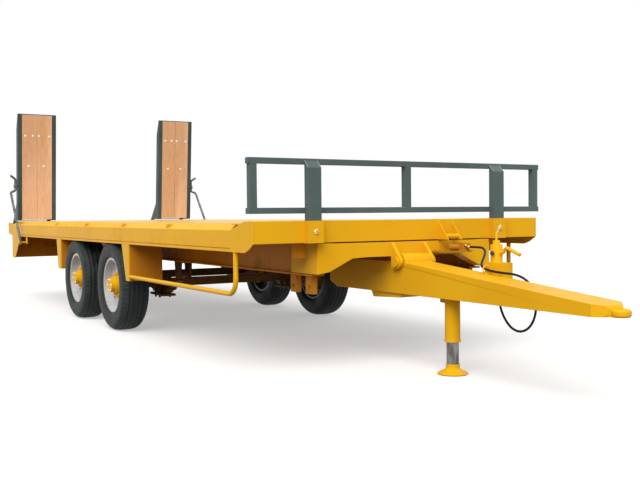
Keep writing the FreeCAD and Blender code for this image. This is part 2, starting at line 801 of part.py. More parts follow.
for end, x in zip(("front", "rear"), axle_stations):
    for label, side in (("left", 1), ("right", -1)):
        nodes["tyre_%s_%s" % (end, label)] = tyre(x, side)
        nodes["rim_%s_%s" % (end, label)] = rim(x, side)
        nodes["hub_%s_%s" % (end, label)] = hub(x, side)


# ---- jack
def jack_tube():
    """Outer tube welded under the drawbar, with a small ear behind it."""
    outer = rod_z(jack_x, 0, jack_tube_radius, jack_tube_bottom, drawbar_bottom)
    lip = rod_z(jack_x, 0, jack_tube_radius + 3.0, jack_tube_bottom, jack_tube_bottom + 14.0)
    ear = box(jack_x - 125.0, jack_x - jack_tube_radius + 8.0, -6.0, 6.0,
              drawbar_bottom - 42.0, drawbar_bottom)
    bore = rod_z(jack_x, 0, jack_leg_radius + running_clearance,
                 jack_tube_bottom - 1.0, drawbar_bottom + 1.0)
    return fused([outer, lip, ear]).cut(bore)


nodes["jack_tube"] = jack_tube()


def jack_leg():
    """Inner tube that slides up into the outer one."""
    outer = rod_z(jack_x, 0, jack_leg_radius, jack_foot_edge + 26.0, jack_leg_top)
    hollow = rod_z(jack_x, 0, jack_leg_radius - jack_leg_wall, jack_collar_top, jack_leg_top + 1.0)
    return outer.cut(hollow)


nodes["jack_leg"] = jack_leg()


def jack_foot():
    """Round foot: a collar round the leg, a cone and a flat disc on the ground."""
    def at(radius, z):
        return Vector(jack_x + radius, 0, z)

    cone_top = jack_foot_edge + 20.0
    outline = [at(0, 0), at(jack_foot_radius - 6, 0), at(jack_foot_radius, jack_foot_edge / 2),
               at(jack_foot_radius - 8, jack_foot_edge), at(jack_collar_radius + 10, cone_top - 2),
               at(jack_collar_radius, cone_top + 8), at(jack_collar_radius, jack_collar_top),
               at(0, jack_collar_top)]
    turned = polygon_face(outline).revolve(Vector(jack_x, 0, 0), Vector(0, 0, 1), 360)
    pocket = rod_z(jack_x, 0, jack_leg_radius, jack_foot_edge + 26.0, jack_collar_top + 1.0)
    return turned.cut(pocket)


nodes["jack_foot"] = jack_foot()

# ---- ramps
foot_z = deck_height + ramp_foot_clearance


def ramp_point(along, depth):
    """Place on the ramp's side view: along from its foot, depth behind its tread face."""
    return (ramp_foot_x + along * math.sin(ramp_lean) - depth * math.cos(ramp_lean),
            foot_z + along * math.cos(ramp_lean) + depth * math.sin(ramp_lean))


def ramp_outline(points):
    """Side-view outline from pairs of distance along and depth."""
    return [ramp_point(along, depth) for along, depth in points]


side_inner = ramp_outer_y - ramp_side_width            # inside of the outer side member
far_inner = ramp_outer_y - ramp_width + ramp_side_width


def ramp_frame():
    """Two side members with heels and hinge eyes, cross plates and the tip plate."""
    member = ramp_outline([(0, 0), (ramp_length, 0), (ramp_length, ramp_tip_thickness),
                           (ramp_length - ramp_taper, ramp_depth), (0, ramp_depth)])
    knee = rear_beam_rear - 25.0
    heel = [ramp_point(0, 0), ramp_point(220.0, ramp_depth),
            (hinge_x - hinge_eye_radius * 0.8, hinge_z + hinge_eye_radius * 0.6),
            (hinge_x, hinge_z - 5.0), (hinge_x + hinge_eye_radius * 0.9, hinge_z),
            (knee, foot_z)]
    pieces = []
    for y0 in (side_inner, ramp_outer_y - ramp_width):
        y1 = y0 + ramp_side_width
        pieces.append(slab_xz(member, y0, y1))
        pieces.append(slab_xz(heel, y0, y1))
        pieces.append(rod_y(hinge_x, hinge_z, hinge_eye_radius, y0, y1))
    for along in (60.0, 470.0, 880.0, 1180.0):
        pieces.append(slab_xz(ramp_outline([(along, board_thickness), (along + 60.0, board_thickness),
                                            (along + 60.0, ramp_depth - 10.0),
                                            (along, ramp_depth - 10.0)]), far_inner, side_inner))
    tip = ramp_outline([(ramp_length - 12.0, 0), (ramp_length, 0),
                        (ramp_length, ramp_tip_thickness), (ramp_length - 12.0, ramp_tip_thickness)])
    pieces.append(slab_xz(tip, far_inner, side_inner))
    pieces.append(box(knee, ramp_foot_x - 20.0, far_inner, side_inner, foot_z, foot_z + 8.0))
    frame = fused(pieces)
    hole = rod_y(hinge_x, hinge_z, hinge_pin_radius + running_clearance,
                 ramp_outer_y - ramp_width - 1.0, ramp_outer_y + 1.0)
    stub_x, stub_z = ramp_point(stay_pivot_along, ramp_depth / 2)
    stub = rod_y(stub_x, stub_z, stay_pivot_radius, ramp_outer_y, ramp_outer_y + 44.0)
    return frame.cut(hole).fuse(stub)


def ramp_boards():
    """Two hardwood planks between the side members, flush with their faces."""
    clear = board_gap
    half_board = (side_inner - far_inner - 3 * clear) / 2
    outline = ramp_outline([(14.0, 0), (ramp_length - 14.0, 0), (ramp_length - 14.0, 20.0),
                            (ramp_length - 70.0, board_thickness), (14.0, board_thickness)])
    boards = []
    for y0 in (far_inner + clear, far_inner + 2 * clear + half_board):
        boards.append(slab_xz(outline, y0, y0 + half_board))
    return Part.makeCompound(boards)


def ramp_stay():
    """Cranked bar that turns on the ramp's side and hooks over the catch on the rail."""
    pivot_px, pivot_pz = ramp_point(stay_pivot_along, ramp_depth / 2)
    side_y = ramp_outer_y + 24.0
    points = [Vector(pivot_px + 26.0, stay_bar_y, pivot_pz + 138.0),
              Vector(pivot_px + 4.0, side_y, pivot_pz + 92.0),
              Vector(pivot_px, side_y, pivot_pz - 60.0),
              Vector(pivot_px + 20.0, stay_bar_y, pivot_pz - 86.0),
              Vector(stay_catch_x - 12.0, stay_bar_y, stay_catch_z + 16.0)]
    bar = bent_bar(points, stay_bar_radius, [30.0, 30.0, 30.0])
    boss = rod_y(pivot_px, pivot_pz, 28.0, ramp_outer_y + 8.0, ramp_outer_y + 40.0)
    hook = rod_y(stay_catch_x, stay_catch_z, 30.0, stay_bar_y - 8.0, stay_bar_y + 8.0)
    whole = fused([bar, boss, hook])
    bore = rod_y(pivot_px, pivot_pz, stay_pivot_radius + running_clearance,
                 ramp_outer_y, ramp_outer_y + 60.0)
    slot_half = stay_catch_radius + 1.0
    swing = math.atan2(stay_catch_x - pivot_px, pivot_pz - stay_catch_z)
    slot = box(0, 60.0, stay_bar_y - 30.0, stay_bar_y + 30.0, -slot_half, slot_half)
    slot.rotate(Vector(0, 0, 0), Vector(0, 1, 0), -math.degrees(swing))
    slot.translate(Vector(stay_catch_x, 0, stay_catch_z))
    seat = rod_y(stay_catch_x, stay_catch_z, slot_half, stay_bar_y - 30.0, stay_bar_y + 30.0)
    return whole.cut(bore).cut(slot).cut(seat)


for label, side in (("left", 1), ("right", -1)):
    nodes["ramp_frame_" + label] = on_side(ramp_frame(), side)
    nodes["ramp_boards_" + label] = on_side(ramp_boards(), side)
    nodes["ramp_stay_" + label] = on_side(ramp_stay(), side)


def stay_catch():
    """Lug below the side rail with a headed pin for the stay's hook."""
    lug = box(stay_catch_x - 20.0, stay_catch_x + 20.0, half_width - strip_width,
              half_width - 2.0, stay_catch_z - 20.0, strip_bottom)
    pin = rod_y(stay_catch_x, stay_catch_z, stay_catch_radius, half_width - strip_width,
                stay_bar_y + 27.0)
    head = rod_y(stay_catch_x, stay_catch_z, 18.0, stay_bar_y + 15.0, stay_bar_y + 27.0)
    return fused([lug, pin, head])


nodes["stay_catches"] = pair(stay_catch())


# ---- brackets at the front
def hitch_bracket():
    """Two ribs on the front beam with a round spacer between them."""
    low, high = front_beam_bottom, front_beam_top - 8.0
    ribs = []
    for y0 in (266.0, 391.0):
        ribs.append(slab_xz([(beam_x, low), (beam_x + 120.0, low), (beam_x + 112.0, low + 12.0),
                             (beam_x, high)], y0, y0 + 8.0))
    spacer = rod_y(beam_x + 78.0, low + 24.0, 18.0, 266.0, 399.0)
    return fused(ribs + [spacer])


nodes["hitch_bracket"] = hitch_bracket()


def chain_lug(x0, x1):
    """Plate with a hole below the main beam, left side."""
    low = beam_bottom - 130.0
    blank = box(x0, x1, beam_centre_y - 20.0, beam_centre_y + 20.0, low, beam_bottom)
    return blank.cut(rod_y((x0 + x1) / 2, low + 45.0, 16.0, beam_centre_y - 21.0,
                           beam_centre_y + 21.0))


chain_lugs = [chain_lug(beam_x - 457.0, beam_x - 371.0), chain_lug(beam_x - 240.0, beam_x - 145.0)]
step_tab = box(beam_x - 112.0, beam_x - 100.0, 795.0, 900.0, front_beam_bottom - 105.0,
               front_beam_bottom)
front_lugs = chain_lugs + [step_tab]
nodes["front_lugs"] = Part.makeCompound(front_lugs + [mirrored(lug) for lug in front_lugs])


# ---- hand pump, valve block and hose
def hand_pump():
    """Tank block on the drawbar's side with the pump barrel and plunger rod on top."""
    x0, x1 = pump_x - pump_half_length, pump_x + pump_half_length
    middle_y = (pump_near_y + pump_far_y) / 2
    tank = box(x0, x1, pump_near_y, pump_far_y, pump_bottom, pump_top)
    foot = box(x0 + 30.0, x1 - 30.0, drawbar_half_width, pump_near_y,
               pump_bottom, pump_bottom + 40.0)
    barrel = rod_z(pump_x - 20.0, middle_y, 40.0, pump_top, pump_top + 118.0)
    gland = rod_z(pump_x - 20.0, middle_y, 24.0, pump_top + 118.0, pump_top + 145.0)
    plunger = rod_z(pump_x - 20.0, middle_y, 8.0, pump_top + 145.0, pump_top + 195.0)
    port = rod_z(port_x, port_y, 10.0, port_z, pump_bottom)
    return fused([tank, foot, barrel, gland, plunger, port])


port_x = beam_x + 762.0
port_y = drawbar_half_width + 45.0
port_z = pump_bottom - 20.0
nodes["hand_pump"] = hand_pump()


def pump_handle():
    """Cranked handle on the side of the pump barrel."""
    middle_y = (pump_near_y + pump_far_y) / 2
    points = [Vector(pump_x + 20.0, middle_y, pump_top + 64.0),
              Vector(pump_x + 44.0, middle_y, pump_top + 64.0),
              Vector(pump_x + 72.0, middle_y, pump_top + 100.0),
              Vector(pump_x + 200.0, middle_y, pump_top + 56.0)]
    return bent_bar(points, 12.0, [22.0, 22.0])


nodes["pump_handle"] = pump_handle()

valve_y = 420.0
valve_z = neck_top - 47.0
valve_front = beam_x + 140.0
hose_start_x = valve_front + 30.0


def valve_block():
    """Shelf on the neck's front face with the brake valve and its hose tail."""
    shelf = box(beam_x, beam_x + 150.0, 200.0, 470.0, valve_z - 38.0, valve_z - 28.0)
    body = box(beam_x + 50.0, valve_front, valve_y - 38.0, valve_y + 38.0,
               valve_z - 28.0, valve_z + 26.0)
    tail = rod_x(valve_y, valve_z, 10.0, valve_front, hose_start_x)
    cylinder = rod_y(beam_x + 84.0, valve_z, 22.0, 290.0, valve_y - 38.0)
    return fused([shelf, body, tail, cylinder])


nodes["valve_block"] = valve_block()

hose_route = [
    Vector(hose_start_x, valve_y, valve_z),
    Vector(beam_x + 255, 420, 838),
    Vector(beam_x + 345, 398, 838),
    Vector(beam_x + 430, 345, 815),
    Vector(beam_x + 510, 262, 780),
    Vector(beam_x + 580, 180, 750),
    Vector(beam_x + 650, 114, 728),
    Vector(beam_x + 735, 85, 713),
    Vector(beam_x + 815, 80, 704),
    Vector(beam_x + 890, 95, 698),
    Vector(beam_x + 955, 135, 692),
    Vector(beam_x + 1015, 170, 660),
    Vector(beam_x + 1060, 180, 605),
    Vector(beam_x + 1088, 177, 535),
    Vector(beam_x + 1096, 170, 465),
    Vector(beam_x + 1075, 165, 395),
    Vector(beam_x + 1025, 162, 343),
    Vector(beam_x + 955, 160, 322),
    Vector(beam_x + 885, 160, 340),
    Vector(beam_x + 830, 161, 385),
    Vector(beam_x + 790, 163, 440),
    Vector(beam_x + 769, 164, 500),
    Vector(beam_x + 762, port_y, 555),
    Vector(port_x, port_y, port_z),
]


def hose_bends(route):
    """Radius at each inner point: 0.45 of the shorter run over the tangent of half the turn."""
    radii = []
    for before, corner, after in zip(route, route[1:], route[2:]):
        shorter = min((corner - before).Length, (after - corner).Length)
        half_turn = (corner - before).getAngle(after - corner) / 2
        radii.append(0.45 * shorter / math.tan(half_turn))
    return radii


bends = hose_bends(hose_route)
print("hose bend radii:", [round(radius) for radius in bends])
hose_path = bent_wire(hose_route, bends)
hose = bent_bar(hose_route, hose_radius, bends)
print("hose length %.0f mm, volume over section times length %.4f"
      % (hose_path.Length, hose.Volume / (math.pi * hose_radius ** 2 * hose_path.Length)))
nodes["brake_hose"] = hose

ring_x = beam_x + 735.0


def hose_ring():
    """Wire ring on the drawbar's top that carries the hose."""
    slope = (pivot_z - drawbar_front_top) / (drawbar_front_x - pivot_x)
    top_z = pivot_z - slope * (ring_x - pivot_x)
    ring = Part.makeTorus(26.0, 5.0, Vector(ring_x, 86.0, top_z + 30.0), Vector(1, -0.25, 0))
    foot = box(ring_x - 20.0, ring_x + 20.0, 72.0, 100.0, top_z - 3.0, top_z + 5.0)
    below = slab_xz(drawbar_outline(0.0), -drawbar_half_width, drawbar_half_width)
    return fused([ring, foot]).cut(below)


nodes["hose_ring"] = hose_ring()

# ---- write one file for each node
os.makedirs("parts", exist_ok=True)
for name, shape in nodes.items():
    shape.exportStep("parts/%s.step" % name)
print("%d nodes" % len(nodes))
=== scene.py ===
"""Studio scene of a tandem-axle equipment trailer, parked on its jack with its ramps up."""
import bpy
import math
import numpy as np
from mathutils import Matrix, Vector


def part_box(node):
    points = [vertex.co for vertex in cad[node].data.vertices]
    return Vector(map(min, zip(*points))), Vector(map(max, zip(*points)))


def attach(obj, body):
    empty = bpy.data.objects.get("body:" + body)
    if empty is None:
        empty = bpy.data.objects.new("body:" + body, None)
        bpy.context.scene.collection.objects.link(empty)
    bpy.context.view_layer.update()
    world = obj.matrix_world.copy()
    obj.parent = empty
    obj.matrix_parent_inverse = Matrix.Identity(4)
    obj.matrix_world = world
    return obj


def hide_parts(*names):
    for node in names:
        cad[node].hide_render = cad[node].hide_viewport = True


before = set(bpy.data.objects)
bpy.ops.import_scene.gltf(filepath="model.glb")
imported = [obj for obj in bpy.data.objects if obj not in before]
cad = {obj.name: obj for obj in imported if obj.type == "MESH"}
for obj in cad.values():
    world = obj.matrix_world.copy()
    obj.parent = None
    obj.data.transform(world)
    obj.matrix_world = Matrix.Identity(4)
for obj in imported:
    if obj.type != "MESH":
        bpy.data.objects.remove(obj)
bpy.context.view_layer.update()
sides = (("left", 1), ("right", -1))

# ---- Viewpoint and studio
# The trailer is seen from its right front corner at a standing person's height, across
# a pale floor. A broad sun from the right and an even sky light it.
front_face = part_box("front_beam")[1].x

eye_place = Vector((front_face + 5.124, -3.791, 1.085))
look = Vector((-0.85899, 0.51117, -0.029035)).normalized()
roll = math.radians(-0.56)
level_right = look.cross(Vector((0, 0, 1))).normalized()
level_up = level_right.cross(look)
right = math.cos(roll) * level_right + math.sin(roll) * level_up
up = right.cross(look)

camera = bpy.data.objects.new("camera", bpy.data.cameras.new("camera"))
bpy.context.scene.collection.objects.link(camera)
camera.data.sensor_width = 36.0
camera.data.lens = 49.6
camera.data.clip_end = 500.0
camera.matrix_world = Matrix.Translation(eye_place) @ Matrix(
    (right, up, -look)).transposed().to_4x4()
bpy.context.scene.camera = camera
bpy.context.scene.view_settings.view_transform = "Standard"

sun = bpy.data.objects.new("sun", bpy.data.lights.new("sun", "SUN"))
sun.data.energy = 2.8
sun.data.angle = math.radians(50)
sun.data.color = (1.0, 0.97, 0.92)
sun.rotation_euler = Vector((0.58, -0.54, 0.78)).to_track_quat("Z", "Y").to_euler()
bpy.context.scene.collection.objects.link(sun)


def seen_directly(tree):
    """1 for rays that show the studio itself: from the camera, a reflection or glass."""
    rays = tree.nodes.new("ShaderNodeLightPath")
    seen = rays.outputs["Is Camera Ray"]
    for kind in ("Is Glossy Ray", "Is Transmission Ray"):
        either = tree.nodes.new("ShaderNodeMath")
        either.operation = "MAXIMUM"
        tree.links.new(seen, either.inputs[0])
        tree.links.new(rays.outputs[kind], either.inputs[1])
        seen = either.outputs[0]
    return seen


sky_strength = 0.74
world = bpy.data.worlds.new("sky")
bpy.context.scene.world = world
world.use_nodes = True
sky = world.node_tree.nodes["Background"]
sky.inputs["Color"].default_value = (1.0, 1.0, 1.0, 1.0)
brightness = world.node_tree.nodes.new("ShaderNodeMix")
brightness.inputs["A"].default_value = sky_strength
brightness.inputs["B"].default_value = 1.0
world.node_tree.links.new(seen_directly(world.node_tree), brightness.inputs["Factor"])
world.node_tree.links.new(brightness.outputs["Result"], sky.inputs["Strength"])

floor_reach = 120.0
floor_mesh = bpy.data.meshes.new("studio_floor")
floor_mesh.from_pydata([(-floor_reach, -floor_reach, 0), (floor_reach, -floor_reach, 0),
                        (floor_reach, floor_reach, 0), (-floor_reach, floor_reach, 0)],
                       [], [(0, 1, 2, 3)])
studio_floor = bpy.data.objects.new("studio_floor", floor_mesh)
bpy.context.scene.collection.objects.link(studio_floor)

floor_finish = bpy.data.materials.new("studio_floor")
floor_finish.use_nodes = True
tree = floor_finish.node_tree
tree.nodes.clear()
shaded = tree.nodes.new("ShaderNodeBsdfDiffuse")
shaded.inputs["Color"].default_value = (0.55, 0.55, 0.55, 1.0)
lifted = tree.nodes.new("ShaderNodeEmission")
lifted.inputs["Strength"].default_value = 0.42
bright = tree.nodes.new("ShaderNodeAddShader")
dull = tree.nodes.new("ShaderNodeBsdfDiffuse")
dull.inputs["Color"].default_value = (0.210, 0.170, 0.130, 1.0)
choice = tree.nodes.new("ShaderNodeMixShader")
ground = tree.nodes.new("ShaderNodeOutputMaterial")
tree.links.new(shaded.outputs[0], bright.inputs[0])
tree.links.new(lifted.outputs[0], bright.inputs[1])
tree.links.new(seen_directly(tree), choice.inputs["Fac"])
tree.links.new(dull.outputs[0], choice.inputs[1])
tree.links.new(bright.outputs[0], choice.inputs[2])
tree.links.new(choice.outputs[0], ground.inputs["Surface"])
floor_mesh.materials.append(floor_finish)

# ---- Brake hose
# A rubber air hose of 16 mm from the brake valve over the drawbar, through a wire ring,
# down its far side in a loop and up into the pump's port. It hangs under its own weight.


def finish(name, colour, roughness, metallic=0.0):
    """A new material whose shader has a plain colour, roughness and metal share."""
    material = bpy.data.materials.new(name)
    material.use_nodes = True
    shader = material.node_tree.nodes["Principled BSDF"]
    shader.inputs["Base Color"].default_value = (*colour, 1.0)
    shader.inputs["Roughness"].default_value = roughness
    shader.inputs["Metallic"].default_value = metallic
    return material


def noise(material, scale, stretch=(1.0, 1.0, 1.0), detail=4.0):
    """Noise in object coordinates, squeezed along each axis by stretch."""
    nodes, links = material.node_tree.nodes, material.node_tree.links
    place = nodes.new("ShaderNodeTexCoord")
    mapping = nodes.new("ShaderNodeMapping")
    mapping.inputs["Scale"].default_value = stretch
    texture = nodes.new("ShaderNodeTexNoise")
    texture.inputs["Scale"].default_value = scale
    texture.inputs["Detail"].default_value = detail
    links.new(place.outputs["Object"], mapping.inputs["Vector"])
    links.new(mapping.outputs["Vector"], texture.inputs["Vector"])
    return texture.outputs["Fac"]


def between(material, value, low, high, to_low=0.0, to_high=1.0):
    """A value carried from one range to another, held at both ends."""
    span = material.node_tree.nodes.new("ShaderNodeMapRange")
    for name, number in (("From Min", low), ("From Max", high),
                         ("To Min", to_low), ("To Max", to_high)):
        span.inputs[name].default_value = number
    material.node_tree.links.new(value, span.inputs["Value"])
    return span.outputs["Result"]


def colours(material, share, first, second):
    """Colour that goes from first to second, each a colour or a socket, as share goes 0 to 1."""
    mix = material.node_tree.nodes.new("ShaderNodeMix")
    mix.data_type = "RGBA"
    links = material.node_tree.links
    links.new(share, mix.inputs[0])
    for socket, colour in ((mix.inputs[6], first), (mix.inputs[7], second)):
        if isinstance(colour, tuple):
            socket.default_value = (*colour, 1.0)
        else:
            links.new(colour, socket)
    return mix.outputs[2]


def into(material, name, socket):
    """Feeds a socket to the shader's input of that name."""
    shader = material.node_tree.nodes["Principled BSDF"]
    material.node_tree.links.new(socket, shader.inputs[name])


def bumps(material, height, strength, distance):
    """Raises the surface by height times distance, in the shading."""
    bump = material.node_tree.nodes.new("ShaderNodeBump")
    bump.inputs["Strength"].default_value = strength
    bump.inputs["Distance"].default_value = distance
    material.node_tree.links.new(height, bump.inputs["Height"])
    into(material, "Normal", bump.outputs["Normal"])


hose_diameter = 0.016
valve_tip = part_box("valve_block")[1]
hose_points = [
    (0.170, 0.420, 0.838), (0.255, 0.420, 0.838), (0.345, 0.398, 0.838),
    (0.430, 0.345, 0.815), (0.510, 0.262, 0.780), (0.580, 0.180, 0.750),
    (0.650, 0.114, 0.728), (0.735, 0.085, 0.713), (0.815, 0.080, 0.704),
    (0.890, 0.095, 0.698), (0.955, 0.135, 0.692), (1.015, 0.170, 0.660),
    (1.060, 0.180, 0.605), (1.088, 0.177, 0.535), (1.096, 0.170, 0.465),
    (1.075, 0.165, 0.395), (1.025, 0.162, 0.343), (0.955, 0.160, 0.322),
    (0.885, 0.160, 0.340), (0.830, 0.161, 0.385), (0.790, 0.163, 0.440),
    (0.769, 0.164, 0.500), (0.762, 0.165, 0.555), (0.762, 0.165, 0.600),
]
hose_curve = bpy.data.curves.new("brake_hose_line", "CURVE")
hose_curve.dimensions = "3D"
hose_curve.bevel_depth = hose_diameter / 2
hose_curve.bevel_resolution = 6
hose_curve.resolution_u = 10
hose_curve.use_fill_caps = True
line = hose_curve.splines.new("NURBS")
line.points.add(len(hose_points) - 1)
for point, (x, y, z) in zip(line.points, hose_points):
    point.co = (front_face + x, y, z, 1.0)
line.order_u = 3
line.use_endpoint_u = True
brake_hose = bpy.data.objects.new("brake_hose_line", hose_curve)
bpy.context.scene.collection.objects.link(brake_hose)

hose_rubber = finish("hose_rubber", (0.007, 0.007, 0.008), 0.5)
hose_rubber.node_tree.nodes["Principled BSDF"].inputs["Specular IOR Level"].default_value = 0.2
dust = between(hose_rubber, noise(hose_rubber, 45.0), 0.4, 0.75)
into(hose_rubber, "Base Color", colours(hose_rubber, dust, (0.006, 0.006, 0.007),
                                        (0.022, 0.021, 0.019)))
into(hose_rubber, "Roughness", between(hose_rubber, dust, 0.0, 1.0, 0.44, 0.68))
hose_curve.materials.append(hose_rubber)
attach(brake_hose, "chassis")
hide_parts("brake_hose")

# ---- Painted chassis
# Beams, rails, cross bearers and corner plates of welded mild steel, shot-blasted and
# sprayed with gloss yellow. The paint has a fine orange peel and road dust. The parts
# under the deck take darker, browner copies of it: painted shade there, with road dirt.
yellow = (0.790, 0.428, 0.011)
deep_yellow = (0.745, 0.388, 0.010)
road_dust = (0.300, 0.190, 0.085)


def dress(material, *names):
    """Gives CAD nodes a material."""
    for name in names:
        cad[name].data.materials.clear()
        cad[name].data.materials.append(material)


def soften(width, *names):
    """Rounds the sharp edges of CAD nodes, as paint and a grinder leave them."""
    for name in names:
        weld = cad[name].modifiers.new("weld", "WELD")
        weld.merge_threshold = 0.00005
        bevel = cad[name].modifiers.new("round", "BEVEL")
        bevel.width = width
        bevel.segments = 2
        bevel.limit_method = "ANGLE"
        bevel.angle_limit = math.radians(35)
        bevel.harden_normals = True


def gloss_paint(name, colour, deeper, grime_and_shade, grime_and_shade_share):
    """Sprayed gloss paint: slow shifts of colour, patches of grime, fine orange peel; on the
    darker copies for parts under the deck the patches are painted shade as well as grime.
    """
    paint = finish(name, colour, 0.4)
    shift = between(paint, noise(paint, 1.6, detail=2.0), 0.35, 0.7)
    body = colours(paint, shift, colour, deeper)
    patches = between(paint, noise(paint, 9.0, (1.0, 1.0, 0.45), 6.0), 0.55, 0.8,
                      0.0, grime_and_shade_share)
    into(paint, "Base Color", colours(paint, patches, body, grime_and_shade))
    into(paint, "Roughness", between(paint, patches, 0.0, grime_and_shade_share, 0.36, 0.65))
    bumps(paint, noise(paint, 260.0, detail=2.0), 0.08, 0.0005)
    paint.node_tree.nodes["Principled BSDF"].inputs["Specular IOR Level"].default_value = 0.06
    return paint


def cover(material, share, colour):
    """Lays another colour over a material's own by a share."""
    base = material.node_tree.nodes["Principled BSDF"].inputs["Base Color"]
    own = base.links[0].from_socket
    into(material, "Base Color", colours(material, share, own, colour))


def inboard(material, inner, outer):
    """1 where the distance from the trailer's middle plane is under inner, 0 past outer."""
    nodes, links = material.node_tree.nodes, material.node_tree.links
    place, parts = nodes.new("ShaderNodeTexCoord"), nodes.new("ShaderNodeSeparateXYZ")
    distance = nodes.new("ShaderNodeMath")
    distance.operation = "ABSOLUTE"
    links.new(place.outputs["Object"], parts.inputs[0])
    links.new(parts.outputs["Y"], distance.inputs[0])
    return between(material, distance.outputs[0], inner, outer, 1.0, 0.0)


yellow_paint = gloss_paint("yellow_paint", yellow, deep_yellow, road_dust, 0.06)
# Cross bearers, rear beam, rear panel and front lugs: a darker, browner copy of the paint with
# heavy dark brown patches, which is painted shade under the deck as well as road dirt.
under_deck_shaded_paint = gloss_paint("yellow_paint_below_shaded", (0.640, 0.265, 0.012), (0.500, 0.190, 0.012),
                          (0.110, 0.060, 0.030), 0.65)
# Main beams: the same darker under-deck copy, and their inboard faces are painted dark brown
# over it. Both are painted shade, and the patches also stand for road dirt.
beam_shaded_paint = gloss_paint("yellow_paint_beams_shaded", (0.640, 0.265, 0.012), (0.500, 0.190, 0.012),
                         (0.110, 0.060, 0.030), 0.65)
beam_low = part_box("main_beam_left")[0]
cover(beam_shaded_paint, inboard(beam_shaded_paint, beam_low.y + 0.004, beam_low.y + 0.010),
      (0.120, 0.055, 0.018))
# Mudguards: every face more than 12 mm inboard of the outer side is painted a deeper orange,
# which is painted shade under the deck.
guard_shaded_paint = gloss_paint("yellow_paint_guards_shaded", yellow, deep_yellow, road_dust, 0.08)
guard_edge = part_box("mudguards")[1].y
cover(guard_shaded_paint, inboard(guard_shaded_paint, guard_edge - 0.012, guard_edge - 0.006),
      (0.520, 0.200, 0.014))

dress(yellow_paint, "front_beam", "corner_plates", "side_rail_left", "side_rail_right",
      "tail_plates", "post_sockets", "side_guard_left", "side_guard_right",
      "stay_catches", "hitch_bracket", "neck_crossmember", "ramp_hinge_lugs")
dress(guard_shaded_paint, "mudguards")
dress(beam_shaded_paint, "main_beam_left", "main_beam_right")
dress(under_deck_shaded_paint, "cross_bearers", "rear_beam", "rear_panel", "front_lugs")
soften(0.004, "front_beam", "neck_crossmember", "side_rail_left", "side_rail_right")
soften(0.002, "corner_plates", "tail_plates", "post_sockets", "mudguards", "hitch_bracket",
       "stay_catches", "front_lugs", "ramp_hinge_lugs")

# ---- Deck floor
# One skin of tread plate welded to the bearers and sprayed with the chassis. Boots and
# tracks have polished the raised lozenges and left it duller between them.
deck_paint = finish("deck_paint", yellow, 0.36)
nodes, links = deck_paint.node_tree.nodes, deck_paint.node_tree.links
lozenge_pitch = 34.0


def lozenges(turn, shift):
    """Long raised drops on a square lattice: one minus the length of the fraction of the
    turned place, less a half, squeezed across the drop."""
    place = nodes.new("ShaderNodeTexCoord")
    lattice = nodes.new("ShaderNodeMapping")
    lattice.inputs["Rotation"].default_value = (0.0, 0.0, turn)
    lattice.inputs["Scale"].default_value = (lozenge_pitch, lozenge_pitch, 0.0)
    lattice.inputs["Location"].default_value = (shift, shift, 0.0)
    cell = nodes.new("ShaderNodeVectorMath")
    cell.operation = "FRACTION"
    centred = nodes.new("ShaderNodeVectorMath")
    centred.operation = "SUBTRACT"
    centred.inputs[1].default_value = (0.5, 0.5, 0.0)
    squeezed = nodes.new("ShaderNodeVectorMath")
    squeezed.operation = "MULTIPLY"
    squeezed.inputs[1].default_value = (2.3, 8.0, 0.0)
    length = nodes.new("ShaderNodeVectorMath")
    length.operation = "LENGTH"
    links.new(place.outputs["Object"], lattice.inputs["Vector"])
    for before, after in ((lattice, cell), (cell, centred), (centred, squeezed),
                          (squeezed, length)):
        links.new(before.outputs["Vector"], after.inputs[0])
    return between(deck_paint, length.outputs["Value"], 1.0, 0.75)


raised = nodes.new("ShaderNodeMath")
raised.operation = "MAXIMUM"
links.new(lozenges(math.radians(45), 0.0), raised.inputs[0])
links.new(lozenges(math.radians(-45), 0.5), raised.inputs[1])
scuffs = between(deck_paint, noise(deck_paint, 3.5, (0.35, 1.0, 1.0), 6.0), 0.48, 0.72,
                 0.0, 0.55)
into(deck_paint, "Base Color", colours(deck_paint, scuffs, (0.660, 0.380, 0.030),
                                       (0.640, 0.490, 0.260)))
into(deck_paint, "Roughness", between(deck_paint, raised.outputs[0], 0.0, 1.0, 0.42, 0.27))
bumps(deck_paint, raised.outputs[0], 0.55, 0.0015)
dress(deck_paint, "deck_floor")

# ---- Axles and springs
# Square axle beams on underslung packs of leaves, clamped with plates and four bolts,
# in hangers of plate below the main beams. The same paint, drawn much darker and browner
# and mostly covered by dark brown patches.
axle_paint = gloss_paint("yellow_paint_axles", (0.240, 0.110, 0.020), (0.130, 0.060, 0.020),
                         (0.050, 0.036, 0.026), 0.8)
dress(axle_paint, "axle_front", "axle_rear", "leaf_springs", "axle_clamps", "spring_hangers")
soften(0.002, "spring_hangers")

# ---- Headboard
# A frame of square tube on two rectangular posts with slanted heads, dropped in sockets
# on the front beam and clamped by a bolt. It is sprayed slate grey over the mill finish.
slate = (0.098, 0.140, 0.142)
slate_paint = gloss_paint("slate_paint", slate, (0.075, 0.110, 0.112),
                          (0.200, 0.210, 0.190), 0.25)
dress(slate_paint, "headboard_frame", "headboard_posts")
soften(0.004, "headboard_frame", "headboard_posts")


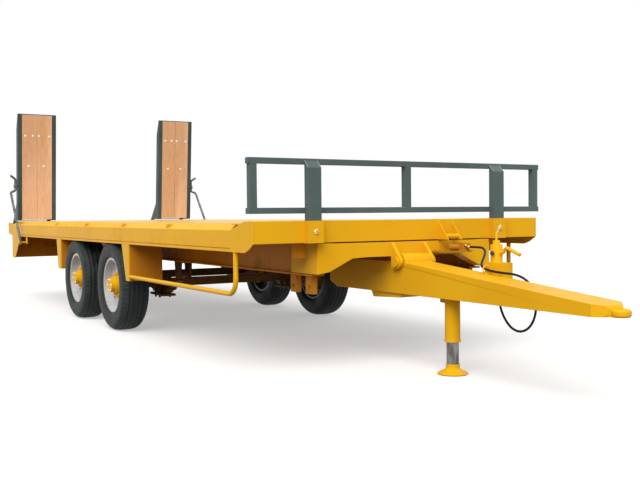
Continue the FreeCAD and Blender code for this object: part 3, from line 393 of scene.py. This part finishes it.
def surface(name, places, faces, material, body, smooth=True):
    """A piece from arrays of places and faces, its faces turned so that its volume is
    positive: the sum of each corner triple's box product over six."""
    places = np.asarray(places, float).reshape(-1, 3)
    volume = 0.0
    for group in faces:
        group = np.asarray(group)
        first = places[group[:, 0]]
        for k in range(1, group.shape[1] - 1):
            volume += np.einsum("ij,ij->", first,
                                np.cross(places[group[:, k]], places[group[:, k + 1]]))
    turned = [np.asarray(group)[:, ::(1 if volume > 0 else -1)] for group in faces]
    mesh = bpy.data.meshes.new(name)
    mesh.from_pydata(places.tolist(), [], [face for group in turned for face in group.tolist()])
    mesh.polygons.foreach_set("use_smooth", np.full(len(mesh.polygons), smooth))
    mesh.materials.append(material)
    piece = bpy.data.objects.new(name, mesh)
    bpy.context.scene.collection.objects.link(piece)
    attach(piece, body)
    return piece


def heads(name, places, axis, outline, corners, material, body):
    """Bolt heads or nuts: at each place a ring of corners goes round the axis at each
    (radius, height) of the outline, closed by a flat face at both ends."""
    axis = np.asarray(axis, float) / np.linalg.norm(axis)
    across = np.cross(axis, (0.0, 0.0, 1.0) if abs(axis[2]) < 0.9 else (1.0, 0.0, 0.0))
    across /= np.linalg.norm(across)
    other = np.cross(axis, across)
    angle = 2 * np.pi * np.arange(corners) / corners
    round_ = np.cos(angle)[:, None] * across + np.sin(angle)[:, None] * other
    radius, height = np.asarray(outline, float).T
    rings = radius[:, None, None] * round_ + height[:, None, None] * axis
    points = np.asarray(places, float)[:, None, None, :] + rings
    rows = len(outline)
    start = (np.arange(len(places)) * rows * corners)[:, None, None]
    step = np.arange(corners)
    after = (step + 1) % corners
    low = np.arange(rows - 1)[:, None] * corners
    quads = np.stack([low + step, low + after, low + corners + after, low + corners + step],
                     -1).reshape(-1, 4)
    ends = np.stack([step[::-1], (rows - 1) * corners + step])
    return surface(name, points, [(start + quads).reshape(-1, 4),
                                  (start + ends).reshape(-1, corners)],
                   material, body, smooth=False)


def tube(name, path, radius, across, material, body, closed=False, corners=12):
    """A round bar: at each point of the path a circle stands square to the path's
    direction, its first arm along across made square to that direction."""
    path = np.asarray(path, float)
    if closed:
        direction = np.roll(path, -1, 0) - np.roll(path, 1, 0)
    else:
        direction = np.gradient(path, axis=0)
    direction /= np.linalg.norm(direction, axis=1, keepdims=True)
    first = np.cross(direction, across)
    first /= np.linalg.norm(first, axis=1, keepdims=True)
    second = np.cross(direction, first)
    angle = 2 * np.pi * np.arange(corners) / corners
    radius = np.broadcast_to(radius, len(path))[:, None, None]
    points = path[:, None] + radius * (np.cos(angle)[None, :, None] * first[:, None]
                                       + np.sin(angle)[None, :, None] * second[:, None])
    step, after = np.arange(corners), (np.arange(corners) + 1) % corners
    rows = np.arange(len(path) if closed else len(path) - 1)[:, None]
    ahead = (rows + 1) % len(path)
    quads = np.stack([rows * corners + step, rows * corners + after,
                      ahead * corners + after, ahead * corners + step], -1).reshape(-1, 4)
    faces = [quads]
    if not closed:
        faces.append(np.stack([step[::-1], (len(path) - 1) * corners + step]))
    return surface(name, points, faces, material, body)


zinc = finish("zinc_plate", (0.80, 0.79, 0.75), 0.3, 0.7)
into(zinc, "Roughness", between(zinc, noise(zinc, 160.0), 0.3, 0.7, 0.2, 0.45))
hex_bolt = [(0.0165, 0.0), (0.0165, 0.009), (0.0140, 0.011)]
post_centre, post_width = 0.810, 0.100
stud_reach, stud_drop = 0.012, 0.073
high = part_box("post_sockets")[1]
for label, side in sides:
    heads("socket_bolt_" + label,
          [(high.x - stud_reach, side * post_centre, high.z - stud_drop)], (1, 0, 0),
          hex_bolt, 6, zinc, "chassis")

# Weld beads along the slanted edges of the post heads, coloured a pale grey well above the
# slate: the paleness is a painted highlight on those edges.
weld_highlight_grey = finish("slate_weld_painted_highlight", (0.24, 0.28, 0.28), 0.5)
ripple = noise(weld_highlight_grey, 320.0, detail=2.0)
into(weld_highlight_grey, "Base Color", colours(weld_highlight_grey, ripple, (0.170, 0.210, 0.210),
                                      (0.300, 0.340, 0.340)))
bumps(weld_highlight_grey, ripple, 0.5, 0.001)
low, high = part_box("headboard_posts")
head_fall, head_depth, weld_radius = 0.050, high.x - low.x, 0.0028
post_sides = (post_centre - post_width / 2, post_centre + post_width / 2)
span = np.linspace(0, 1, 24)
for label, side in sides:
    for number, post_edge in enumerate(post_sides):
        seam = np.stack([low.x + 0.004 + (head_depth - 0.006) * span,
                         np.full(len(span), side * post_edge),
                         high.z - 0.002 - head_fall * span], -1)
        tube("head_weld_%s_%d" % (label, number), seam, weld_radius, (0, 1, 0), weld_highlight_grey,
             "chassis", corners=8)

# ---- Wheels
# Commercial tyres of 265 mm section on white-silver disc wheels, ten nuts to a hub. The
# tread has four zigzag grooves and cut shoulders; the sidewalls carry plain moulded rings.
tyre_segments = 360
wheel_stations = (("front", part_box("axle_front")), ("rear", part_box("axle_rear")))
tyre_middle = 1.104

tyre_rubber = finish("tyre_rubber", (0.014, 0.020, 0.019), 0.62)
tyre_rubber.node_tree.nodes["Principled BSDF"].inputs["Specular IOR Level"].default_value = 0.22
wear = between(tyre_rubber, noise(tyre_rubber, 14.0, detail=6.0), 0.42, 0.72)
into(tyre_rubber, "Base Color", colours(tyre_rubber, wear, (0.011, 0.017, 0.016),
                                        (0.036, 0.043, 0.041)))
into(tyre_rubber, "Roughness", between(tyre_rubber, wear, 0.0, 1.0, 0.52, 0.8))
bumps(tyre_rubber, noise(tyre_rubber, 420.0, detail=2.0), 0.15, 0.0008)


def tyre_skin():
    """Radius and offset along the axle over (angle, station). The section is a squared
    ellipse about a middle radius; the grooves lower the crown where the offset is within
    a groove's half width of its zigzag line; the shoulder blocks are cut by a square wave."""
    middle, rise, half = 0.3390, 0.0945, 0.1300
    lean = np.radians(np.linspace(-41.0, 221.0, 112))[None, :]
    angle = (2 * np.pi * np.arange(tyre_segments) / tyre_segments)[:, None]
    power = 2 / 3.3
    offset = half * np.sign(np.cos(lean)) * np.abs(np.cos(lean)) ** power
    radius = middle + rise * np.sign(np.sin(lean)) * np.abs(np.sin(lean)) ** power
    offset, radius = offset + 0 * angle, radius + 0 * angle
    crown = radius > middle + 0.9 * rise
    zigzag = 0.003 * (2 / np.pi) * np.arcsin(np.sin(48 * angle))
    for line in (-0.066, -0.022, 0.022, 0.066):
        near = np.abs(offset - line - zigzag)
        radius = radius - crown * 0.010 * np.clip((0.0065 - near) / 0.0025, 0, 1)
    shoulder = (np.abs(offset) > 0.094) & (radius > middle + 0.55 * rise)
    cut = np.sin(60 * angle) > 0.72
    radius = radius - shoulder * cut * 0.006
    for ring, proud in ((0.283, 0.0018), (0.352, 0.0014), (0.392, 0.0020)):
        ridge = np.exp(-((radius - ring) / 0.0035) ** 2)
        offset = offset + np.sign(offset) * proud * ridge * (radius < 0.40)
    return radius, np.clip(offset, -0.131, 0.131)


skin_radius, skin_offset = tyre_skin()
bead = np.array([(0.2500, 0.0945), (0.2500, -0.0945)])
ring_radius = np.concatenate([skin_radius, np.tile(bead[::-1, 0], (tyre_segments, 1))], 1)
ring_offset = np.concatenate([skin_offset, np.tile(bead[::-1, 1], (tyre_segments, 1))], 1)
stations = ring_radius.shape[1]
around = 2 * np.pi * np.arange(tyre_segments)[:, None] / tyre_segments
here, ahead = np.arange(tyre_segments)[:, None], (np.arange(tyre_segments)[:, None] + 1)
ahead = ahead % tyre_segments
this, following = np.arange(stations), (np.arange(stations) + 1) % stations
tyre_faces = np.stack([here * stations + this, here * stations + following,
                       ahead * stations + following, ahead * stations + this],
                      -1).reshape(-1, 4)

rim_silver = finish("rim_silver", (0.60, 0.60, 0.62), 0.34)
brake_dust = between(rim_silver, noise(rim_silver, 22.0, detail=6.0), 0.5, 0.8, 0.0, 0.5)
into(rim_silver, "Base Color", colours(rim_silver, brake_dust, (0.530, 0.535, 0.550),
                                       (0.200, 0.190, 0.175)))
into(rim_silver, "Roughness", between(rim_silver, brake_dust, 0.0, 0.5, 0.28, 0.55))
# Rim faces inboard of the disc are painted near black: painted shade on the inner side of the
# wheels.
cover(rim_silver, inboard(rim_silver, tyre_middle + 0.016, tyre_middle + 0.022),
      (0.020, 0.022, 0.020))

nut_outline = [(0.0160, 0.0), (0.0160, 0.017), (0.0130, 0.020), (0.0085, 0.020),
               (0.0085, 0.030), (0.0060, 0.032)]
nut_circle, disc_out = 0.1125, 0.036
cap_screw = [(0.007, 0.0), (0.007, 0.007), (0.0055, 0.009)]
cap_circle, cap_out = 0.055, 0.124
stem_circle, stem_rise, stem_out, stem_reach, stem_radius = 0.200, 0.028, 0.030, 0.045, 0.004
for end, (low, high) in wheel_stations:
    axle_x, axle_z = (low.x + high.x) / 2, (low.z + high.z) / 2
    for label, side in sides:
        body = "wheel_%s_%s" % (end, label)
        places = np.stack([axle_x + ring_radius * np.cos(around),
                           side * (tyre_middle + ring_offset),
                           axle_z + ring_radius * np.sin(around)], -1)
        tyre = surface("tyre_tread_%s_%s" % (end, label), places, [tyre_faces],
                       tyre_rubber, body)
        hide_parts("tyre_%s_%s" % (end, label))
        dress(rim_silver, "rim_%s_%s" % (end, label))
        dress(yellow_paint, "hub_%s_%s" % (end, label))
        turn = 2 * np.pi * (np.arange(10) + 0.5) / 10
        nut_places = np.stack([axle_x + nut_circle * np.cos(turn),
                               np.full(10, side * (tyre_middle + disc_out)),
                               axle_z + nut_circle * np.sin(turn)], -1)
        heads("wheel_nuts_%s_%s" % (end, label), nut_places, (0, side, 0), nut_outline, 6,
              yellow_paint, body)
        cap_turn = 2 * np.pi * np.arange(6) / 6
        cap_places = np.stack([axle_x + cap_circle * np.cos(cap_turn),
                               np.full(6, side * (tyre_middle + cap_out)),
                               axle_z + cap_circle * np.sin(cap_turn)], -1)
        heads("cap_screws_%s_%s" % (end, label), cap_places, (0, side, 0),
              cap_screw, 6, zinc, body)
        share = np.linspace(0, 1, 12)
        stem = np.stack([axle_x + stem_circle + stem_rise * share,
                         side * (tyre_middle + stem_out + stem_reach * share),
                         np.full(12, axle_z)], -1)
        tube("tyre_valve_%s_%s" % (end, label), stem, stem_radius, (0, 0, 1), zinc, body)

# ---- Ramps
# Welded frames of folded section, slate painted, each with two hardwood planks bolted
# between the side members with zinc-plated dome heads. They stand at a slight lean.
ramp_lean = math.radians(4.5)
ramp_paint = gloss_paint("ramp_paint", (0.062, 0.088, 0.090), (0.045, 0.066, 0.070),
                         (0.150, 0.150, 0.130), 0.35)
dress(ramp_paint, "ramp_frame_left", "ramp_frame_right")
soften(0.003, "ramp_frame_left", "ramp_frame_right")

hardwood = finish("hardwood", (0.62, 0.36, 0.18), 0.55)
hardwood.node_tree.nodes["Principled BSDF"].inputs["Specular IOR Level"].default_value = 0.25
grain = noise(hardwood, 9.0, (9.0, 9.0, 0.55), 8.0)
fibre = noise(hardwood, 60.0, (6.0, 6.0, 0.35), 4.0)
figure = colours(hardwood, between(hardwood, grain, 0.3, 0.7), (0.600, 0.320, 0.170),
                 (0.800, 0.500, 0.310))
tone = colours(hardwood, between(hardwood, noise(hardwood, 4.2, (1.0, 1.0, 0.08), 1.0),
                                 0.42, 0.58), (0.560, 0.310, 0.150), (0.820, 0.510, 0.330))
mixed = hardwood.node_tree.nodes.new("ShaderNodeMix")
mixed.data_type = "RGBA"
mixed.inputs[0].default_value = 0.5
hardwood.node_tree.links.new(figure, mixed.inputs[6])
hardwood.node_tree.links.new(tone, mixed.inputs[7])
dark_lines = between(hardwood, fibre, 0.56, 0.7, 0.0, 0.4)
into(hardwood, "Base Color", colours(hardwood, dark_lines, mixed.outputs[2],
                                     (0.330, 0.160, 0.075)))
into(hardwood, "Roughness", between(hardwood, fibre, 0.3, 0.7, 0.46, 0.68))
bumps(hardwood, fibre, 0.35, 0.0012)
dress(hardwood, "ramp_boards_left", "ramp_boards_right")
soften(0.0025, "ramp_boards_left", "ramp_boards_right")

plank_bolts = ((2.167, (-0.152, -0.055, 0.023, 0.160)), (1.766, (-0.109, 0.086)))
dome = [(0.0155 * math.cos(t), 0.0050 * math.sin(t)) for t in np.radians((0, 25, 50, 75))]
for label, side in sides:
    low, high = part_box("ramp_boards_" + label)
    middle_y = (low.y + high.y) / 2
    bolt_places = [(high.x - (high.z - height) * math.tan(ramp_lean) - 0.0005,
                    middle_y + across, height)
                   for height, row in plank_bolts for across in row]
    heads("plank_bolts_" + label, bolt_places,
          (math.cos(ramp_lean), 0, -math.sin(ramp_lean)), dome, 12, zinc,
          "ramp_" + label)

# ---- Ramp stays
# Cranked bars of 30 mm round steel that turn on a stub on each ramp and hook over a pin
# below the rail. The paint has gone to a worn grey where the hands and the catch rub.
worn_steel = finish("worn_steel", (0.12, 0.14, 0.13), 0.5, 0.25)
rubbed = between(worn_steel, noise(worn_steel, 30.0, detail=6.0), 0.42, 0.68)
into(worn_steel, "Base Color", colours(worn_steel, rubbed, (0.070, 0.088, 0.082),
                                       (0.210, 0.225, 0.210)))
into(worn_steel, "Roughness", between(worn_steel, rubbed, 0.0, 1.0, 0.6, 0.42))
dress(worn_steel, "ramp_stay_left", "ramp_stay_right", "ramp_hinge_pins")

# ---- Drawbar
# A tapered box of plate that hangs on one pin between two ears on the neck. The forged
# ring eye is let into its nose, and a small wire ring on its top guides the hose.
dress(yellow_paint, "drawbar", "drawbar_ears", "drawbar_pin", "towing_eye", "hose_ring")
soften(0.005, "drawbar")
soften(0.002, "drawbar_ears", "drawbar_pin")

# ---- Jack
# A telescopic leg below the drawbar: a painted outer tube, a greased inner tube that
# slides in it, and a round foot of pressed plate.
dress(yellow_paint, "jack_tube", "jack_foot")
greased = finish("greased_steel", (0.20, 0.20, 0.20), 0.4, 0.8)
grease = between(greased, noise(greased, 26.0, (1.0, 1.0, 0.3), 6.0), 0.4, 0.7)
into(greased, "Base Color", colours(greased, grease, (0.115, 0.110, 0.105),
                                    (0.330, 0.325, 0.310)))
into(greased, "Roughness", between(greased, grease, 0.0, 1.0, 0.28, 0.55))
dress(greased, "jack_leg")

# ---- Hand pump and brake valve
# A cast tank with a plunger barrel and a cranked handle, bolted to the drawbar's left
# side, and a brake valve on a shelf before the neck, with brass and black fittings.
dress(yellow_paint, "hand_pump", "pump_handle")
soften(0.004, "hand_pump")
valve_paint = gloss_paint("yellow_paint_valve", (0.640, 0.320, 0.012), (0.420, 0.190, 0.014),
                          (0.060, 0.040, 0.025), 0.8)
dress(valve_paint, "valve_block")
soften(0.003, "valve_block")
black_plastic = finish("black_plastic", (0.018, 0.017, 0.017), 0.38)
into(black_plastic, "Roughness", between(black_plastic, noise(black_plastic, 90.0), 0.3, 0.7,
                                         0.3, 0.5))
brass = finish("brass", (0.56, 0.36, 0.12), 0.32, 1.0)
into(brass, "Roughness", between(brass, noise(brass, 130.0), 0.3, 0.7, 0.24, 0.46))

low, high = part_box("hand_pump")
barrel_x, barrel_y = (low.x + high.x) / 2 - 0.020, 0.180
knob_turn = np.linspace(0, np.pi / 2, 7)
knob = [(0.008, 0.0), (0.008, 0.010), (0.014, 0.012), (0.015, 0.020)] + [
    (0.015 * math.cos(t), 0.020 + 0.006 * math.sin(t)) for t in knob_turn[1:-1]]
knob_place = (barrel_x + 0.014, barrel_y - 0.039, 0.820)
heads("pump_knob", [knob_place], (0.35, -1, 0), knob, 20, black_plastic, "chassis")
ferrule = [(0.0105, 0.0), (0.0125, 0.002), (0.0125, 0.016), (0.0090, 0.020), (0.0090, 0.032)]
tail_y, tail_z = hose_points[0][1:]
port_x, port_y = hose_points[-1][:2]
heads("hose_ferrules", [(valve_tip.x - 0.014, tail_y, tail_z)], (1, 0, 0), ferrule, 6, brass,
      "chassis")
heads("port_ferrule", [(front_face + port_x, port_y, low.z + 0.020)], (0, 0, -1), ferrule,
      6, brass, "chassis")
shelf_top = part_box("valve_block")[0].z + 0.010
shelf_bolts = [(front_face + along, across, shelf_top) for along in (0.025, 0.125)
               for across in (0.222, 0.262)]
heads("shelf_bolts", shelf_bolts, (0, 0, 1),
      [(0.0095, 0.0), (0.0095, 0.007), (0.0080, 0.009)], 6, valve_paint, "chassis")
plugs = [(front_face + 0.141, 0.405, 0.850), (front_face + 0.141, 0.438, 0.826)]
heads("valve_caps", plugs, (1, 0, 0), [(0.010, 0.0), (0.010, 0.010), (0.007, 0.013)], 6,
      brass, "chassis")

# ---- Pump chain
# A short chain of zinc-plated wire links that keeps the plunger's pin. It runs from the
# top of the plunger up and forwards, each link a quarter turn from the last.
link_count, wire_radius, link_half_width, link_overlap = 9, 0.0011, 0.0036, 0.72
chain_start = np.array([barrel_x, barrel_y, high.z - 0.004])
chain_end = np.array([barrel_x + 0.030, barrel_y + 0.010, high.z + 0.052])
turn = 2 * np.pi * np.arange(16) / 16
along = chain_end - chain_start
pitch = np.linalg.norm(along) / link_count
along /= np.linalg.norm(along)
flat = np.cross(along, (0.0, 1.0, 0.0))
flat /= np.linalg.norm(flat)
edge = np.cross(along, flat)
for link in range(link_count):
    across = flat if link % 2 else edge
    middle = chain_start + along * pitch * (link + 0.5)
    loop = (middle + np.outer(np.cos(turn), along) * pitch * link_overlap
            + np.outer(np.sin(turn), across) * link_half_width)
    tube("pump_chain_%d" % link, loop, wire_radius, np.cross(along, across), zinc, "chassis",
         closed=True, corners=6)

# ---- Lashing rings
# Small D rings of 9 mm bar that lie folded on the bevel of the side rails, welded on at
# five stations on each side and painted with the chassis.
bevel, bar_radius, ring_squash = math.radians(38), 0.0045, 0.45
ring_setbacks = (1.55, 2.67, 3.85, 5.04, 6.90)
rail_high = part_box("side_rail_left")[1]
turn = np.linspace(0, np.pi, 15)
half_ring = np.stack([0.046 * np.cos(turn), 0.052 * np.sin(turn)], -1)
ring_line = np.concatenate([[(0.046, -0.012)], half_ring, [(-0.046, -0.012)],
                            np.stack([np.linspace(-0.036, 0.036, 6), np.full(6, -0.012)], -1)])
for label, side in sides:
    for number, setback in enumerate(ring_setbacks):
        seat = np.array([front_face - setback, side * (rail_high.y - 0.030),
                         rail_high.z - 0.0175])
        up_slope = np.array([0.0, -side * math.cos(bevel), math.sin(bevel)])
        outward = np.array([0.0, side * math.sin(bevel), math.cos(bevel)])
        path = (seat + outward * 0.004 + ring_line[:, :1] * np.array([1.0, 0.0, 0.0])
                - ring_line[:, 1:] * up_slope * ring_squash)
        tube("lashing_ring_%s_%d" % (label, number), path, bar_radius, outward, yellow_paint,
             "chassis", closed=True, corners=8)
